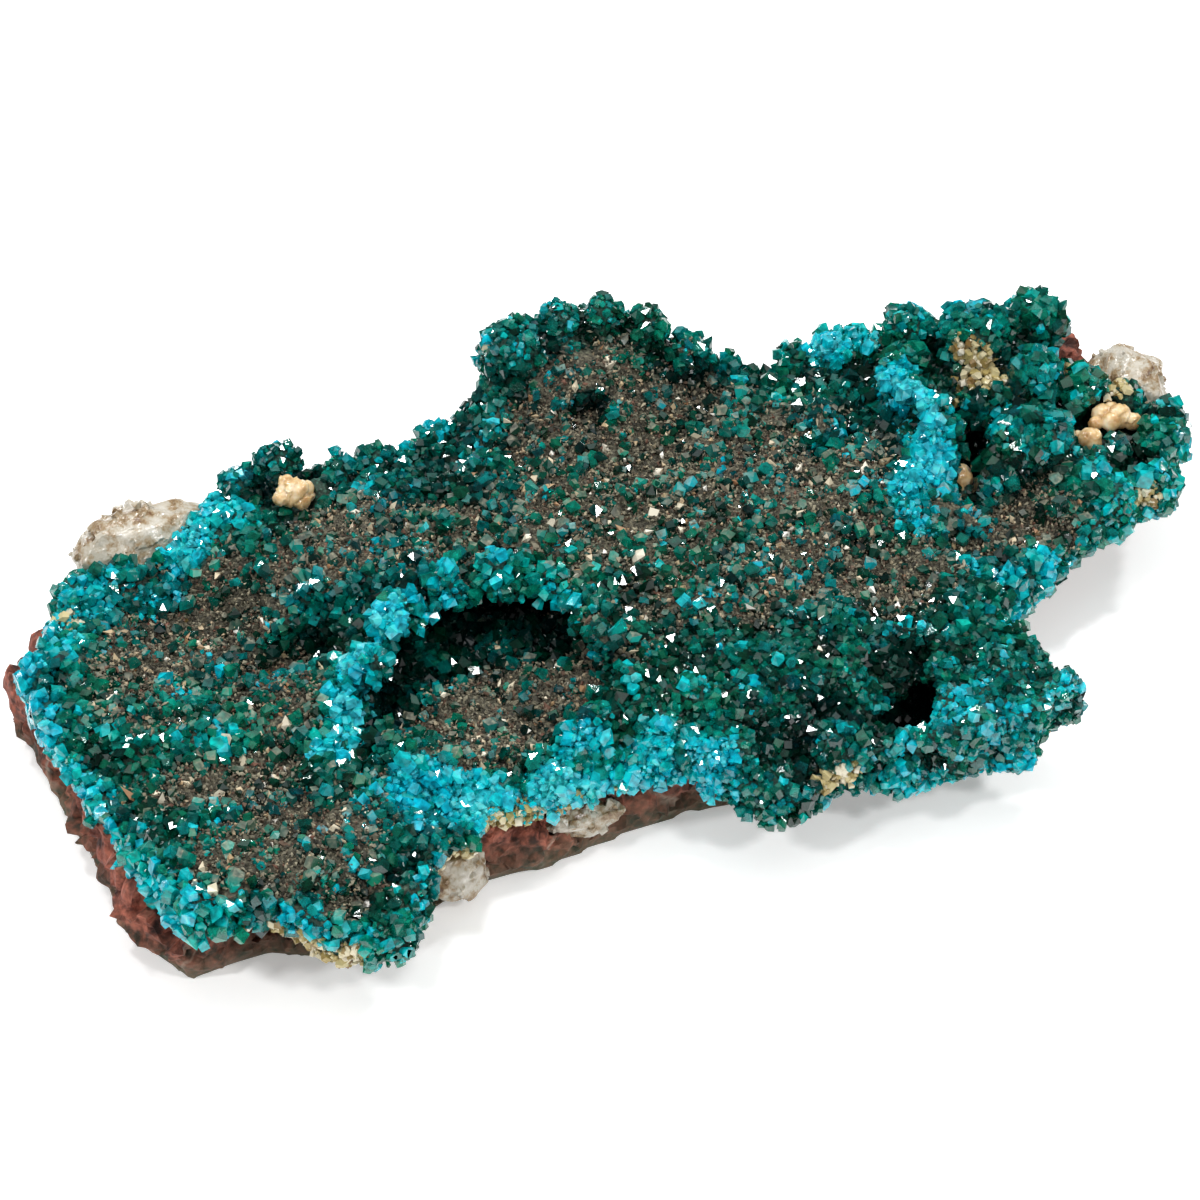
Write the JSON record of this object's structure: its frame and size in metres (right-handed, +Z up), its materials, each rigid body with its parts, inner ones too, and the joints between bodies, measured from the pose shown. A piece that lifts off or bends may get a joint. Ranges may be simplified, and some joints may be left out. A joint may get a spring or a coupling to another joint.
{
  "type": "dioptase mineral specimen",
  "caption": "Hand specimen of dioptase: a slab of red-brown rock carrying a thick druse of green crystals, with white quartz and cream calcite.",
  "frame": {"origin": "middle of the specimen's outline seen from above, on the flat face it rests on", "axes": "+X along the slab's length, towards the end with the knobs; +Y across it, away from the side with the big pocket; +Z up, from the rock to the crystals"},
  "size_m": [0.136, 0.0766, 0.0286],
  "materials": {
    "rock": "broken, matt",
    "dioptase": "crystal faces, glassy",
    "quartz": "broken, glassy to matt",
    "calcite": "waxy"
  },
  "bodies": {
    "root": {"matrix_rock": "rock", "dioptase_druse": "dioptase", "quartz_left": "quartz", "quartz_right": "quartz", "quartz_ledge_front": "quartz", "quartz_vein_front": "quartz", "cream_nodule": "calcite", "cavity_bead": "calcite", "cream_beads": "calcite"}
  },
  "joints": []
}
